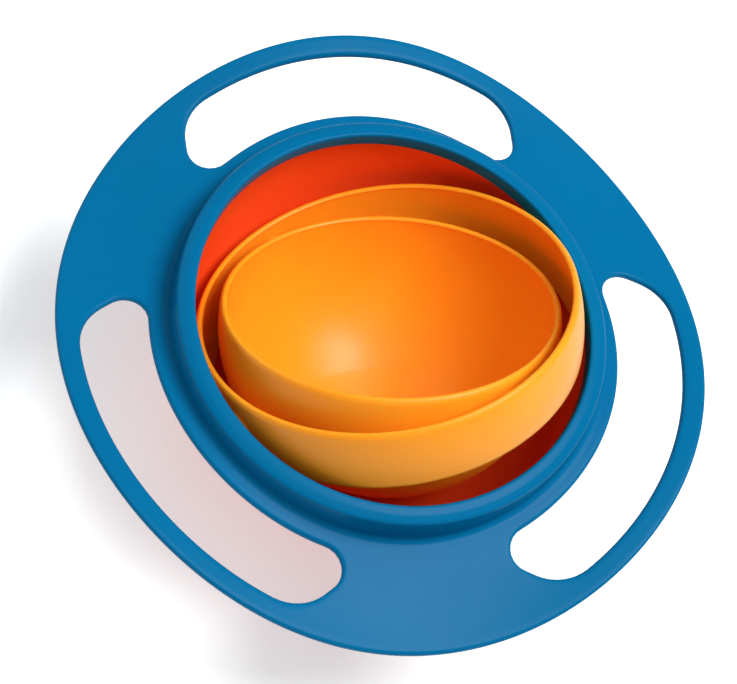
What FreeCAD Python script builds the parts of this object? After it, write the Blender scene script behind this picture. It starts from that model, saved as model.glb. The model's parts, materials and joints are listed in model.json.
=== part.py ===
import FreeCAD, Part
import math
import os

# Spill-proof baby bowl on a two-axis gimbal.  All sizes are in millimetres.
# The frame stands on the table: z = 0 is the face the foot rests on, +Z is the saucer's axis, and the
# ring swings about an axis along Y, which passes through the middle of one grip.

V = FreeCAD.Vector
UP = V(0, 0, 1)

# ---- driving dimensions -------------------------------------------------------------------------
SAUCER_RADIUS = 114.0        # outside of the three grips
LIP_RADIUS = 69.0            # mouth of the collar
GIMBAL_HEIGHT = 75.8         # crossing point of the two swing axes, above the table
LIP_RISE = 11.2              # the collar's lip above that crossing point
WALL = 2.2                   # wall of every moulded shell

RING_TILT = 30.9             # pose in which the ring is stored, about its own pivots
BOWL_TILT = -11.9            # pose in which the bowl is stored, about its own pivots in the ring

# saucer: a flat flange round a collar, with a three-fold wave: low at the lands, high at the grips
FLANGE_THICKNESS = 3.2
FLANGE_ROOT_RADIUS = 79.3    # where the flange's height is measured near the collar
FLANGE_ROOT_DROP = 12.3      # below the lip
FLANGE_ROOT_WAVE = 2.6
FLANGE_EDGE_DROP = 11.4
FLANGE_EDGE_WAVE = 6.5
FLANGE_START_RADIUS = 74.6   # hidden inside the collar's outer wall
EDGE_ROUNDING = 1.2
GRIP_COUNT = 3
FIRST_GRIP_AZIMUTH = -90.0
FIRST_LAND_AZIMUTH = 90.0
GRIP_WIDTH = 7.6             # bar outside a finger slot
SLOT_INNER_RADIUS = 82.85
SLOT_OUTER_RADIUS = SAUCER_RADIUS - GRIP_WIDTH
SLOT_INNER_HALF_ANGLE = 47.0     # where the slot's straight ends would meet its inner side
SLOT_OUTER_HALF_ANGLE = 35.1     # and its outer side
SLOT_INNER_CORNER = 7.8
SLOT_OUTER_CORNER = 17.4
COLLAR_TOP_WIDTH = 6.2       # crowned top of the collar, from the lip to its outer edge
COLLAR_TOP_FALL = 1.9
COLLAR_TOP_THICKNESS = 2.6   # at the lip
COLLAR_TOP_ROUNDING = 1.6
COLLAR_SKIRT_DEPTH = 19.5
COLLAR_SKIRT_DRAFT = 1.6
COLLAR_LIP_DEPTH = 6.5       # short inner wall that covers the dome's rim
COLLAR_LIP_ROUNDING = 1.0
COLLAR_FOOT_ROUNDING = 2.5   # between the collar's skirt and the flange

# dome: the fixed outer shell, a hemisphere round the gimbal with a foot wall under it
DOME_INNER_RADIUS = 71.4
DOME_WALL = 1.8
DOME_OUTER_RADIUS = DOME_INNER_RADIUS + DOME_WALL
DOME_FLOOR = 68.6            # flat middle of its inside, below the gimbal
DOME_SHOULDER_DROP = 7.2     # below the lip, where the rim thins to a tongue
DOME_TONGUE_DROP = 4.4       # below the lip, top of the tongue inside the collar
DOME_TONGUE_WALL = 1.2
FOOT_WALL_RADIUS = 38.8
FOOT_WALL_BOTTOM = 2.6
FOOT_BLEND = 3.0             # rounding between the foot wall and the hemisphere

# suction foot: one soft moulding under the dome
CUP_RADIUS = 42.0
CUP_LAND_WIDTH = 2.0         # flat ring that seals on the table
CUP_EDGE_HEIGHT = 0.9        # thin outer edge of that ring
CUP_HOLLOW = 2.4             # height of the hollow at its middle
CUP_HOLLOW_SHOULDER = 1.8    # and where it starts to fall to the sealing ring
CUP_SHOULDER_RADIUS = 34.8
CUP_TOP = 4.6
CUP_LEDGE = 0.8              # reach of the soft edge outside the dome's foot wall
CUP_UPSTAND_TOP = 9.0        # ring that grips inside the dome's foot wall
CUP_UPSTAND_WALL = 2.4
TAB_WIDTH = 12.0             # lift tab at the cup's edge
TAB_LENGTH = 7.0
TAB_OVERLAP = 1.2            # part of that length that lies in the cup
TAB_THICKNESS = 1.8
TAB_CORNER = 5.5

# ring and bowl, both round the gimbal's centre
RING_OUTER_RADIUS = 66.6
RING_TOP = 11.7
RING_BOTTOM = 12.7
BOWL_OUTER_RADIUS = 59.0
BOWL_TOP = 10.2
BOWL_FLOOR = 55.0
BOWL_FLOOR_ROUNDING = 9.0
RIM_ROUNDING = 0.95

# pivots
PIN_RADIUS = 2.0
RUNNING_CLEARANCE = 0.05
BOSS_RADIUS = 4.8
RING_BOSS_PROUD = 1.0        # ring's outer bosses, for its own pins
DOME_BOSS_RADIUS = 4.4
DOME_BOSS_END = 69.0         # the dome's bosses stand inward to this distance from the gimbal's centre
BOWL_BOSS_PROUD = 2.0
RING_INNER_BOSS_PROUD = 2.2
PIN_COLLAR_RADIUS = 3.2
PIN_COLLAR_THICKNESS = 0.9
BLIND_WALL = 1.3             # material left behind a blind pin hole
PIN_TIP_GAP = 0.2
PIN_CHAMFER = 0.4

# screws that hold the dome's three ears to the saucer's posts
SCREW_CIRCLE_RADIUS = 80.0
SCREW_CORE_RADIUS = 1.3
SCREW_HEAD_RADIUS = 2.8
SCREW_HEAD_HEIGHT = 1.8
SCREW_HEAD_ROUNDING = 0.8
SCREW_RECESS_WIDTH = 0.8
SCREW_RECESS_LENGTH = 3.4
SCREW_RECESS_DEPTH = 1.0
POST_RADIUS = 4.0
POST_BOTTOM_DROP = 23.0      # below the lip
PILOT_DEPTH = 6.0
EAR_THICKNESS = 2.6
EAR_RADIUS = 5.0
EAR_HOLE_RADIUS = 1.7
EAR_ROOT_RADIUS = 71.0       # inside the dome's wall at the ears' height
EAR_RIB = 1.6
EAR_RIB_DEPTH = 8.0
EAR_RIB_ROOT_RADIUS = 70.6   # inside the wall at the rib's top
EAR_RIB_FOOT_RADIUS = 68.9   # and at its foot

OVERRUN = 1.0                # how far a cut runs past the face it opens
NEAR = 0.01                  # two sizes closer than this are taken as equal

LIP_Z = GIMBAL_HEIGHT + LIP_RISE
CENTRE = V(0, 0, GIMBAL_HEIGHT)
POST_BOTTOM_Z = LIP_Z - POST_BOTTOM_DROP
POST_LENGTH = POST_BOTTOM_DROP - FLANGE_ROOT_DROP - FLANGE_ROOT_WAVE - FLANGE_THICKNESS / 2
EAR_BOTTOM_Z = POST_BOTTOM_Z - EAR_THICKNESS


# ---- helpers ------------------------------------------------------------------------------------
def polar(radius, azimuth, z):
    """A point given by its distance from the axis, its azimuth in degrees and its height."""
    angle = math.radians(azimuth)
    return V(radius * math.cos(angle), radius * math.sin(angle), z)


def land_azimuths():
    """Azimuths of the three solid stretches between the grips."""
    return [FIRST_LAND_AZIMUTH + 360.0 * land / GRIP_COUNT for land in range(GRIP_COUNT)]


def on_sphere(radius, z):
    """Distance from the axis of a sphere's surface at height z above its centre."""
    return math.sqrt(radius ** 2 - z ** 2)


def revolved(edges):
    """A solid of revolution about Z from the edges of a closed outline in the XZ plane."""
    face = Part.Face(Part.Wire(Part.__sortEdges__(edges)))
    return face.revolve(V(0, 0, 0), UP, 360)


def outline(points):
    """Straight edges through (radius, z) points, closed back to the first."""
    corners = [V(radius, 0, z) for radius, z in points]
    return [Part.LineSegment(a, b).toShape() for a, b in zip(corners, corners[1:] + corners[:1])]


def line(start, end):
    return Part.LineSegment(V(start[0], 0, start[1]), V(end[0], 0, end[1])).toShape()


def sphere_arc(radius, z_start, z_end):
    """An arc of a sphere's meridian round the origin, between two heights."""
    z_middle = radius * math.sin((math.asin(z_start / radius) + math.asin(z_end / radius)) / 2)
    points = [V(on_sphere(radius, z), 0, z) for z in (z_start, z_middle, z_end)]
    return Part.Arc(*points).toShape()


def rounded(solid, radius, wanted):
    """The solid with every edge that the test picks rounded."""
    edges = [edge for edge in solid.Edges if not edge.Degenerated]
    return solid.makeFillet(radius, [edge for edge in edges if wanted(edge)])


def is_circle(edge, radius, z):
    """True for a full circle about Z with this radius at this height."""
    curve = edge.Curve
    return (
        isinstance(curve, Part.Circle)
        and abs(curve.Radius - radius) < NEAR
        and abs(curve.Center.z - z) < NEAR
    )


def rod(start, direction, length, radius):
    return Part.makeCylinder(radius, length, start, direction)


def placed(shape, tilt_in_ring=0.0):
    """A piece of the gimbal, made round the origin, moved to its stored pose."""
    moved = shape.copy()
    moved.rotate(V(0, 0, 0), V(1, 0, 0), tilt_in_ring)
    moved.rotate(V(0, 0, 0), V(0, 1, 0), -RING_TILT)
    moved.translate(CENTRE)
    return moved


def save(name, shape):
    shape.exportStep(os.path.join("parts", name + ".step"))


# ---- saucer: collar, waved flange and three grips -----------------------------------------------
def flange_height(radius, azimuth):
    """Top of the flange; straight from the collar to the edge, waved round the axis."""
    share = (radius - FLANGE_ROOT_RADIUS) / (SAUCER_RADIUS - FLANGE_ROOT_RADIUS)
    drop = FLANGE_ROOT_DROP + share * (FLANGE_EDGE_DROP - FLANGE_ROOT_DROP)
    wave = FLANGE_ROOT_WAVE + share * (FLANGE_EDGE_WAVE - FLANGE_ROOT_WAVE)
    swing = math.cos(math.radians(GRIP_COUNT * (azimuth - FIRST_LAND_AZIMUTH)))
    return LIP_Z - drop - wave * swing


def flange_curve(radius, start, end):
    """The flange's top at one radius, between two azimuths where the wave is level."""
    steps = 16
    azimuths = [start + (end - start) * step / steps for step in range(steps + 1)]
    curve = Part.BSplineCurve()
    curve.interpolate(
        Points=[polar(radius, azimuth, flange_height(radius, azimuth)) for azimuth in azimuths],
        InitialTangent=polar(1, start + 90, 0),
        FinalTangent=polar(1, end + 90, 0),
    )
    return curve.toShape()


def finger_slot(azimuth):
    """A tall prism with the outline of one finger slot, its four corners rounded."""
    def corner(radius, half_angle):
        return polar(radius, azimuth + half_angle, 0)

    inner_left = corner(SLOT_INNER_RADIUS, -SLOT_INNER_HALF_ANGLE)
    inner_right = corner(SLOT_INNER_RADIUS, SLOT_INNER_HALF_ANGLE)
    outer_left = corner(SLOT_OUTER_RADIUS, -SLOT_OUTER_HALF_ANGLE)
    outer_right = corner(SLOT_OUTER_RADIUS, SLOT_OUTER_HALF_ANGLE)
    edges = [
        Part.Arc(inner_left, corner(SLOT_INNER_RADIUS, 0), inner_right).toShape(),
        Part.LineSegment(inner_right, outer_right).toShape(),
        Part.Arc(outer_right, corner(SLOT_OUTER_RADIUS, 0), outer_left).toShape(),
        Part.LineSegment(outer_left, inner_left).toShape(),
    ]
    prism = Part.Face(Part.Wire(edges)).extrude(V(0, 0, LIP_Z))

    def upright_at(radius):
        def test(edge):
            ends = [vertex.Point for vertex in edge.Vertexes]
            upright = len(ends) == 2 and abs(ends[0].z - ends[1].z) > LIP_Z - NEAR
            return upright and abs(math.hypot(ends[0].x, ends[0].y) - radius) < NEAR
        return test

    prism = rounded(prism, SLOT_INNER_CORNER, upright_at(SLOT_INNER_RADIUS))
    return rounded(prism, SLOT_OUTER_CORNER, upright_at(SLOT_OUTER_RADIUS))


def collar():
    """The hollow collar: a short lip inside, a crowned top and an outer skirt."""
    outer_top = LIP_RADIUS + COLLAR_TOP_WIDTH
    skirt_bottom = LIP_Z - COLLAR_SKIRT_DEPTH
    shell = revolved(outline([
        (LIP_RADIUS, LIP_Z - COLLAR_LIP_DEPTH),
        (LIP_RADIUS, LIP_Z),
        (outer_top, LIP_Z - COLLAR_TOP_FALL),
        (outer_top + COLLAR_SKIRT_DRAFT, skirt_bottom),
        (outer_top + COLLAR_SKIRT_DRAFT - WALL, skirt_bottom),
        (outer_top - WALL, LIP_Z - COLLAR_TOP_FALL - WALL),
        (LIP_RADIUS + WALL, LIP_Z - COLLAR_TOP_THICKNESS),
        (LIP_RADIUS + WALL, LIP_Z - COLLAR_LIP_DEPTH),
    ]))
    shell = rounded(shell, COLLAR_LIP_ROUNDING, lambda edge: is_circle(edge, LIP_RADIUS, LIP_Z))
    outer_edge_z = LIP_Z - COLLAR_TOP_FALL
    return rounded(shell, COLLAR_TOP_ROUNDING, lambda edge: is_circle(edge, outer_top, outer_edge_z))


def half_grip():
    """A sixth of the flange, from the middle of a grip to the middle of a land, its open edges rounded."""
    start = FIRST_GRIP_AZIMUTH
    end = start + 180.0 / GRIP_COUNT
    top = Part.makeRuledSurface(
        flange_curve(FLANGE_START_RADIUS, start, end),
        flange_curve(SAUCER_RADIUS, start, end),
    )
    plate = top.extrude(V(0, 0, -FLANGE_THICKNESS)).cut(finger_slot(start))

    def is_open_edge(edge):
        first, last = [vertex.Point for vertex in edge.Vertexes]
        along_radius = abs(first.cross(last).z) < NEAR
        at_collar = math.hypot(first.x, first.y) < FLANGE_START_RADIUS + 1
        return not (along_radius or at_collar)

    return rounded(plate, EDGE_ROUNDING, is_open_edge)


def flange():
    """The waved plate: six equal pieces, every second one mirrored."""
    half = half_grip()
    across_grip = polar(1, FIRST_GRIP_AZIMUTH + 90, 0)
    grip = half.fuse(half.mirror(V(0, 0, 0), across_grip))
    plate = grip
    for turn in range(1, GRIP_COUNT):
        copy = grip.copy()
        copy.rotate(V(0, 0, 0), UP, 360.0 * turn / GRIP_COUNT)
        plate = plate.fuse(copy)
    return plate


def saucer():
    body = collar().fuse(flange())

    def is_collar_foot(edge):
        start = edge.Vertexes[0].Point
        distance = math.hypot(start.x, start.y)
        top = flange_height(distance, math.degrees(math.atan2(start.y, start.x)))
        skirt_foot = LIP_RADIUS + COLLAR_TOP_WIDTH + COLLAR_SKIRT_DRAFT
        beside_collar = LIP_RADIUS + COLLAR_TOP_WIDTH < distance < skirt_foot
        return beside_collar and edge.Length > POST_RADIUS and abs(start.z - top) < 0.1

    body = rounded(body, COLLAR_FOOT_ROUNDING, is_collar_foot)
    for azimuth in land_azimuths():
        post_start = polar(SCREW_CIRCLE_RADIUS, azimuth, POST_BOTTOM_Z)
        body = body.fuse(rod(post_start, UP, POST_LENGTH, POST_RADIUS))
        body = body.cut(rod(post_start, UP, PILOT_DEPTH, SCREW_CORE_RADIUS))
    return body


# ---- dome: the fixed outer shell ----------------------------------------------------------------
def dome():
    """Hemisphere, straight rim, foot wall, three screw ears and an inner boss for each ring pin."""
    shell = shell_below_rim()
    foot_top = -on_sphere(DOME_OUTER_RADIUS - DOME_WALL / 2, FOOT_WALL_RADIUS - WALL / 2)
    foot_wall = revolved(outline([
        (FOOT_WALL_RADIUS - WALL, foot_top),
        (FOOT_WALL_RADIUS, foot_top),
        (FOOT_WALL_RADIUS, FOOT_WALL_BOTTOM - GIMBAL_HEIGHT),
        (FOOT_WALL_RADIUS - WALL, FOOT_WALL_BOTTOM - GIMBAL_HEIGHT),
    ]))
    body = shell.fuse(foot_wall)
    corner_z = -on_sphere(DOME_OUTER_RADIUS, FOOT_WALL_RADIUS)
    body = rounded(body, FOOT_BLEND, lambda edge: is_round_edge(edge, FOOT_WALL_RADIUS, corner_z))
    body.translate(CENTRE)
    for azimuth in land_azimuths():
        body = body.fuse(ear(azimuth))
    for side in (-1, 1):
        out = V(0, side, 0)
        boss_length = DOME_INNER_RADIUS + DOME_WALL / 2 - DOME_BOSS_END
        boss = rod(CENTRE + out * DOME_BOSS_END, out, boss_length, DOME_BOSS_RADIUS)
        bore_start = CENTRE + out * (DOME_BOSS_END - OVERRUN)
        bore = rod(bore_start, out, DOME_OUTER_RADIUS - DOME_BOSS_END + 2 * OVERRUN, PIN_RADIUS)
        body = body.fuse(boss).cut(bore)
    return body


def is_round_edge(edge, radius, z):
    """True for a closed edge round the Z axis that starts at this radius and height."""
    start = edge.Vertexes[0].Point
    on_circle = abs(math.hypot(start.x, start.y) - radius) < NEAR and abs(start.z - z) < NEAR
    return on_circle and edge.Length > 2 * radius


def shell_below_rim():
    """The bare shell round the origin: a bowl with a flat floor and a rim that ends in a thin tongue."""
    shoulder = LIP_RISE - DOME_SHOULDER_DROP
    top = LIP_RISE - DOME_TONGUE_DROP
    tongue_radius = DOME_INNER_RADIUS + DOME_TONGUE_WALL
    outer_floor = DOME_FLOOR + DOME_WALL
    return revolved([
        sphere_arc(DOME_OUTER_RADIUS, -outer_floor, 0),
        line((DOME_OUTER_RADIUS, 0), (DOME_OUTER_RADIUS, shoulder)),
        line((DOME_OUTER_RADIUS, shoulder), (tongue_radius, shoulder)),
        line((tongue_radius, shoulder), (tongue_radius, top)),
        line((tongue_radius, top), (DOME_INNER_RADIUS, top)),
        line((DOME_INNER_RADIUS, top), (DOME_INNER_RADIUS, 0)),
        sphere_arc(DOME_INNER_RADIUS, 0, -DOME_FLOOR),
        line((on_sphere(DOME_INNER_RADIUS, DOME_FLOOR), -DOME_FLOOR), (0, -DOME_FLOOR)),
        line((0, -DOME_FLOOR), (0, -outer_floor)),
        line((0, -outer_floor), (on_sphere(DOME_OUTER_RADIUS, outer_floor), -outer_floor)),
    ])


def ear(azimuth):
    """A flat ear on the dome's wall, round its screw, with one rib under it."""
    reach = SCREW_CIRCLE_RADIUS - EAR_ROOT_RADIUS
    plate = Part.makeBox(reach, 2 * EAR_RADIUS, EAR_THICKNESS, V(EAR_ROOT_RADIUS, -EAR_RADIUS, EAR_BOTTOM_Z))
    tip = rod(V(SCREW_CIRCLE_RADIUS, 0, EAR_BOTTOM_Z), UP, EAR_THICKNESS, EAR_RADIUS)
    hole_start = V(SCREW_CIRCLE_RADIUS, 0, EAR_BOTTOM_Z - OVERRUN)
    hole = rod(hole_start, UP, EAR_THICKNESS + 2 * OVERRUN, EAR_HOLE_RADIUS)
    shape = plate.fuse(tip).cut(hole)
    for side in (-1, 1):
        y = side * (EAR_RADIUS - EAR_RIB / 2) - EAR_RIB / 2
        corners = [
            V(EAR_RIB_ROOT_RADIUS, y, EAR_BOTTOM_Z),
            V(EAR_RIB_ROOT_RADIUS + reach, y, EAR_BOTTOM_Z),
            V(EAR_RIB_FOOT_RADIUS, y, EAR_BOTTOM_Z - EAR_RIB_DEPTH),
        ]
        rib = Part.Face(Part.makePolygon(corners + corners[:1])).extrude(V(0, EAR_RIB, 0))
        shape = shape.fuse(rib)
    shape.rotate(V(0, 0, 0), UP, azimuth)
    return shape


# ---- suction foot -------------------------------------------------------------------------------
def suction_foot():
    """Shallow soft cup with an upstanding ring that grips inside the foot wall, and a lift tab."""
    grip_outer = FOOT_WALL_RADIUS - WALL
    grip_inner = grip_outer - CUP_UPSTAND_WALL
    cup = revolved(outline([
        (0, CUP_HOLLOW),
        (CUP_SHOULDER_RADIUS, CUP_HOLLOW_SHOULDER),
        (CUP_RADIUS - CUP_LAND_WIDTH, 0),
        (CUP_RADIUS, 0),
        (CUP_RADIUS, CUP_EDGE_HEIGHT),
        (FOOT_WALL_RADIUS + CUP_LEDGE, FOOT_WALL_BOTTOM),
        (grip_outer, FOOT_WALL_BOTTOM),
        (grip_outer, CUP_UPSTAND_TOP),
        (grip_inner, CUP_UPSTAND_TOP),
        (grip_inner, CUP_TOP),
        (0, CUP_TOP),
    ]))
    tab_start = V(-TAB_WIDTH / 2, CUP_RADIUS - TAB_OVERLAP, 0)
    tab = Part.makeBox(TAB_WIDTH, TAB_LENGTH, TAB_THICKNESS, tab_start)
    return cup.fuse(rounded(tab, TAB_CORNER, is_tab_corner))


def is_tab_corner(edge):
    """True for the two upright edges at the tab's free end."""
    box = edge.BoundBox
    return box.ZLength > TAB_THICKNESS / 2 and box.YMin > CUP_RADIUS


# ---- gimbal ring --------------------------------------------------------------------------------
def gimbal_ring():
    """A band of a sphere with bosses for its two pairs of pivots: outside on Y, inside on X."""
    inner = RING_OUTER_RADIUS - WALL
    band = revolved([
        sphere_arc(RING_OUTER_RADIUS, -RING_BOTTOM, RING_TOP),
        line((on_sphere(RING_OUTER_RADIUS, RING_TOP), RING_TOP), (on_sphere(inner, RING_TOP), RING_TOP)),
        sphere_arc(inner, RING_TOP, -RING_BOTTOM),
        line(
            (on_sphere(inner, RING_BOTTOM), -RING_BOTTOM),
            (on_sphere(RING_OUTER_RADIUS, RING_BOTTOM), -RING_BOTTOM),
        ),
    ])
    for z in (-RING_BOTTOM, RING_TOP):
        band = rounded(band, RIM_ROUNDING, lambda edge: is_level_circle(edge, z, z))
    middle = inner + WALL / 2
    for side in (-1, 1):
        out = V(0, side, 0)
        boss_end = RING_OUTER_RADIUS + RING_BOSS_PROUD
        band = band.fuse(rod(out * middle, out, boss_end - middle, BOSS_RADIUS))
        bore_start = inner + BLIND_WALL
        bore_radius = PIN_RADIUS + RUNNING_CLEARANCE
        band = band.cut(rod(out * bore_start, out, boss_end - bore_start + OVERRUN, bore_radius))

        across = V(side, 0, 0)
        boss_start = inner - RING_INNER_BOSS_PROUD
        band = band.fuse(rod(across * boss_start, across, middle - boss_start, BOSS_RADIUS))
        bore_end = RING_OUTER_RADIUS - BLIND_WALL
        bore_start = boss_start - OVERRUN
        band = band.cut(rod(across * bore_start, across, bore_end - bore_start, bore_radius))
    return placed(band)


# ---- food bowl ----------------------------------------------------------------------------------
def food_bowl():
    """A deep round bowl with a small flat floor and a boss outside for each pivot pin."""
    inner = BOWL_OUTER_RADIUS - WALL
    inner_floor = BOWL_FLOOR - WALL
    body = revolved([
        line((0, -BOWL_FLOOR), (on_sphere(BOWL_OUTER_RADIUS, BOWL_FLOOR), -BOWL_FLOOR)),
        sphere_arc(BOWL_OUTER_RADIUS, -BOWL_FLOOR, BOWL_TOP),
        line((on_sphere(BOWL_OUTER_RADIUS, BOWL_TOP), BOWL_TOP), (on_sphere(inner, BOWL_TOP), BOWL_TOP)),
        sphere_arc(inner, BOWL_TOP, -inner_floor),
        line((on_sphere(inner, inner_floor), -inner_floor), (0, -inner_floor)),
        line((0, -inner_floor), (0, -BOWL_FLOOR)),
    ])
    body = rounded(body, BOWL_FLOOR_ROUNDING, lambda edge: is_level_circle(edge, -BOWL_FLOOR, -inner_floor))
    body = rounded(body, RIM_ROUNDING, lambda edge: is_level_circle(edge, BOWL_TOP, BOWL_TOP))
    for side in (-1, 1):
        out = V(side, 0, 0)
        boss_start = inner + WALL / 2
        boss_end = BOWL_OUTER_RADIUS + BOWL_BOSS_PROUD
        bore_start = inner + BLIND_WALL
        body = body.fuse(rod(out * boss_start, out, boss_end - boss_start, BOSS_RADIUS))
        body = body.cut(rod(out * bore_start, out, boss_end - bore_start + OVERRUN, PIN_RADIUS))
    return placed(body, BOWL_TILT)


def is_level_circle(edge, low, high):
    """True for a circle about Z whose height is between low and high."""
    curve = edge.Curve
    return (
        isinstance(curve, Part.Circle)
        and abs(abs(curve.Axis.z) - 1) < NEAR
        and low - NEAR < curve.Center.z < high + NEAR
    )


# ---- pins and screws ----------------------------------------------------------------------------
def ring_pivot_pin(side):
    """Plain pin pressed into the dome's boss, flush outside; its inner end carries the ring."""
    out = V(0, side, 0)
    tip = RING_OUTER_RADIUS - WALL + BLIND_WALL + PIN_TIP_GAP
    pin = rod(CENTRE + out * tip, out, DOME_OUTER_RADIUS - tip, PIN_RADIUS)
    return chamfered_tip(pin, CENTRE + out * tip)


def bowl_pivot_pin(side):
    """Pin pressed into the bowl's boss; a collar on it keeps the bowl in the middle of the ring."""
    out = V(side, 0, 0)
    root = BOWL_OUTER_RADIUS - WALL + BLIND_WALL
    seat = BOWL_OUTER_RADIUS + BOWL_BOSS_PROUD
    tip = RING_OUTER_RADIUS - BLIND_WALL - PIN_TIP_GAP
    shank = rod(out * root, out, tip - root, PIN_RADIUS)
    collar_ring = rod(out * seat, out, PIN_COLLAR_THICKNESS, PIN_COLLAR_RADIUS)
    return placed(chamfered_tip(shank.fuse(collar_ring), out * tip), BOWL_TILT)


def chamfered_tip(pin, tip):
    """The pin with its end at this point chamfered."""
    def at_tip(edge):
        return isinstance(edge.Curve, Part.Circle) and edge.Curve.Center.sub(tip).Length < NEAR

    return pin.makeChamfer(PIN_CHAMFER, [edge for edge in pin.Edges if at_tip(edge)])


def saucer_screw(azimuth):
    """Self-tapping screw with a cross recess, driven up through an ear into a post."""
    seat = polar(SCREW_CIRCLE_RADIUS, azimuth, EAR_BOTTOM_Z)
    length = POST_BOTTOM_Z + PILOT_DEPTH - PIN_TIP_GAP - EAR_BOTTOM_Z
    screw = rod(seat, UP, length, SCREW_CORE_RADIUS)
    head = rod(seat, V(0, 0, -1), SCREW_HEAD_HEIGHT, SCREW_HEAD_RADIUS)
    screw = chamfered_tip(screw.fuse(head), seat + UP * length)
    low = seat - UP * SCREW_HEAD_HEIGHT
    screw = rounded(screw, SCREW_HEAD_ROUNDING, lambda edge: is_circle(edge, SCREW_HEAD_RADIUS, low.z))
    for across, along in ((SCREW_RECESS_LENGTH, SCREW_RECESS_WIDTH), (SCREW_RECESS_WIDTH, SCREW_RECESS_LENGTH)):
        corner = low - V(across / 2, along / 2, 0)
        screw = screw.cut(Part.makeBox(across, along, SCREW_RECESS_DEPTH, corner))
    return screw


def main():
    os.makedirs("parts", exist_ok=True)
    save("saucer", saucer())
    save("base_dome", dome())
    save("suction_foot", suction_foot())
    save("gimbal_ring", gimbal_ring())
    save("food_bowl", food_bowl())
    save("ring_pivot_pin_front", ring_pivot_pin(-1))
    save("ring_pivot_pin_rear", ring_pivot_pin(1))
    save("bowl_pivot_pin_left", bowl_pivot_pin(-1))
    save("bowl_pivot_pin_right", bowl_pivot_pin(1))
    save("saucer_screws", Part.makeCompound([saucer_screw(azimuth) for azimuth in land_azimuths()]))


main()
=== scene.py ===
import json
import math

import bmesh
import bpy
import numpy as np
from mathutils import Matrix, Vector


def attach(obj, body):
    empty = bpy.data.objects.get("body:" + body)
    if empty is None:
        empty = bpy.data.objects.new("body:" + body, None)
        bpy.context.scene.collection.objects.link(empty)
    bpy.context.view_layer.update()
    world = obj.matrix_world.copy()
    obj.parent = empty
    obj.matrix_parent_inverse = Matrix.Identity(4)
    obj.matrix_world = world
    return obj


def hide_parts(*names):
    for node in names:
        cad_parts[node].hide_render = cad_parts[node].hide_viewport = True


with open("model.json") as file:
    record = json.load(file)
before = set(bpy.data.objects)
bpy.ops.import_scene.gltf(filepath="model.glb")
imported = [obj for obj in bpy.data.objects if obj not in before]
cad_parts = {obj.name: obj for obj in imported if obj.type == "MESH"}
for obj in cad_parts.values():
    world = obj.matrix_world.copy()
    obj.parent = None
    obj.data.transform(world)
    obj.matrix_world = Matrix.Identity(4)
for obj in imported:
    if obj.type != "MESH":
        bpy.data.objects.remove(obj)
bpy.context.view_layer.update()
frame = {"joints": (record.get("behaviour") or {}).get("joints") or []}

# Looks of the gimbal bowl.  Outlines are (radius, height) points in millimetres round the saucer's axis, and
# plans are (radius, azimuth) points in millimetres and degrees.  make_piece() turns millimetres into metres.
MM = 0.001

# ---- places taken from the frame ------------------------------------------------------------------
joints = {joint["name"]: joint for joint in frame["joints"]}
CENTRE = Vector(joints["ring_swing"]["pos_m"])
CENTRE_Z = CENTRE.z / MM
bowl_axis = Vector(joints["bowl_swing"]["axis"])
RING_TILT = math.atan2(bowl_axis.z, bowl_axis.x)
BOWL_TILT = math.radians(-11.9)
LIP_RISE = 11.2              # the collar's lip above the pivots
LIP_Z = CENTRE_Z + LIP_RISE

RING_POSE = Matrix.Translation(CENTRE) @ Matrix.Rotation(-RING_TILT, 4, "Y")
BOWL_POSE = RING_POSE @ Matrix.Rotation(BOWL_TILT, 4, "X")

# ---- sizes of the visible shapes, mm and degrees ----------------------------------------------------
WALL = 2.2
ROUND_STEPS = 216            # segments round every large turned shape
SMALL_STEPS = 48             # round the bosses, bearing bores and posts
PIN_STEPS = 64               # and round the pins and what they are pressed into
SAUCER_RADIUS = 114.0
LIP_RADIUS = 69.0
FLANGE_ROOT = (79.3, 12.3, 2.6)      # radius, drop below the lip and height of the wave
FLANGE_EDGE = (11.4, 6.5)            # drop and wave at the saucer's edge
FLANGE_SAG = 0.7                     # how far the plate dips between root and edge
FLANGE_THICKNESS = 3.2
EDGE_ROUNDING = 1.3
ROOT_RADIUS = 79.6           # where the flange meets the fillet at the collar's foot
GRIP_COUNT = 3
GRIP_AZIMUTH = -90.0
LAND_AZIMUTH = 90.0
SLOT_INNER = (82.85, 47.0, 7.8)      # radius, half angle and corner rounding of a slot's inner side
SLOT_OUTER = (106.4, 35.1, 17.4)     # and of its outer side
LIP_DEPTH = 6.5              # short inner wall under the lip
CROWN_RADIUS = 75.35         # outer edge of the collar's crowned top
CROWN_DROP = 3.6
SKIRT_FOOT_RADIUS = 76.75    # outside of the collar's skirt under the flange
SKIRT_DROP = 19.5
COLLAR_FOOT_ROUNDING = 2.6   # between the collar and the flange

DOME_INNER = 71.4
DOME_OUTER = 73.2
DOME_FLOOR = -68.6           # flat middle of its inside, from the gimbal's centre
DOME_SHOULDER = LIP_RISE - 7.2   # over the gimbal's centre, where the rim thins to a tongue
DOME_TOP = LIP_RISE - 4.4        # and where the tongue ends
TONGUE_WALL = 1.2
DOME_BOSS_RADIUS = 4.4
DOME_BOSS_END = 69.0
FOOT_WALL_RADIUS = 38.8
FOOT_WALL_BOTTOM = 2.6
FOOT_BLEND = 3.0             # between the foot wall and the hemisphere

RING_RADIUS = 66.6
RING_TOP = 11.7
RING_BOTTOM = -12.7
BOWL_RADIUS = 59.0
BOWL_TOP = 10.2
BOWL_FLOOR = -55.0
BOWL_FLOOR_ROUNDING = 7.0

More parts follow.
